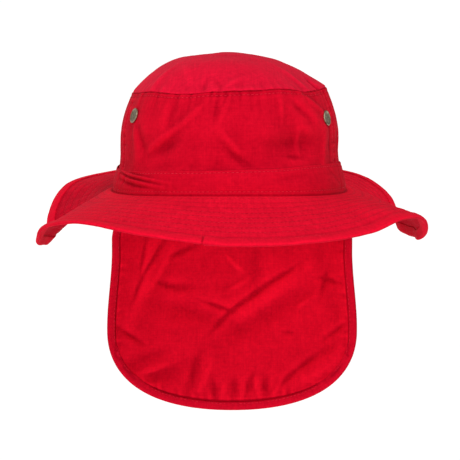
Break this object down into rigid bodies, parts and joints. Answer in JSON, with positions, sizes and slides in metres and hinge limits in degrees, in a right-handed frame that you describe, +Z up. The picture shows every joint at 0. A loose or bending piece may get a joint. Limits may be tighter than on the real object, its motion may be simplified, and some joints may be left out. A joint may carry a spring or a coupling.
{
  "type": "legionnaire hat",
  "caption": "Red cotton legionnaire hat with a soft crown, a wide stitched brim that curls at its sides, and a long neck flap at the back.",
  "frame": {"origin": "centre of the head opening, level with the two sides of the brim seam", "axes": "+Z up through the crown, the front of the hat towards -Y, +X on the right of someone looking at the front"},
  "size_m": [0.2971, 0.3412, 0.298],
  "materials": {
    "crown_cotton": "matte cotton twill",
    "brim_cotton": "matte cotton twill, in rows of stitching",
    "flap_cotton": "matte thin cotton twill",
    "cotton_tape": "matte cotton tape",
    "antique_brass": "antique"
  },
  "bodies": {
    "root": {"crown_tip": "crown_cotton", "crown_front": "crown_cotton", "crown_back": "crown_cotton", "band": "crown_cotton", "brim": "brim_cotton", "brim_tape": "cotton_tape", "neck_flap": "flap_cotton", "flap_tape": "cotton_tape", "snap_left": "antique_brass", "snap_right": "antique_brass"}
  },
  "joints": []
}
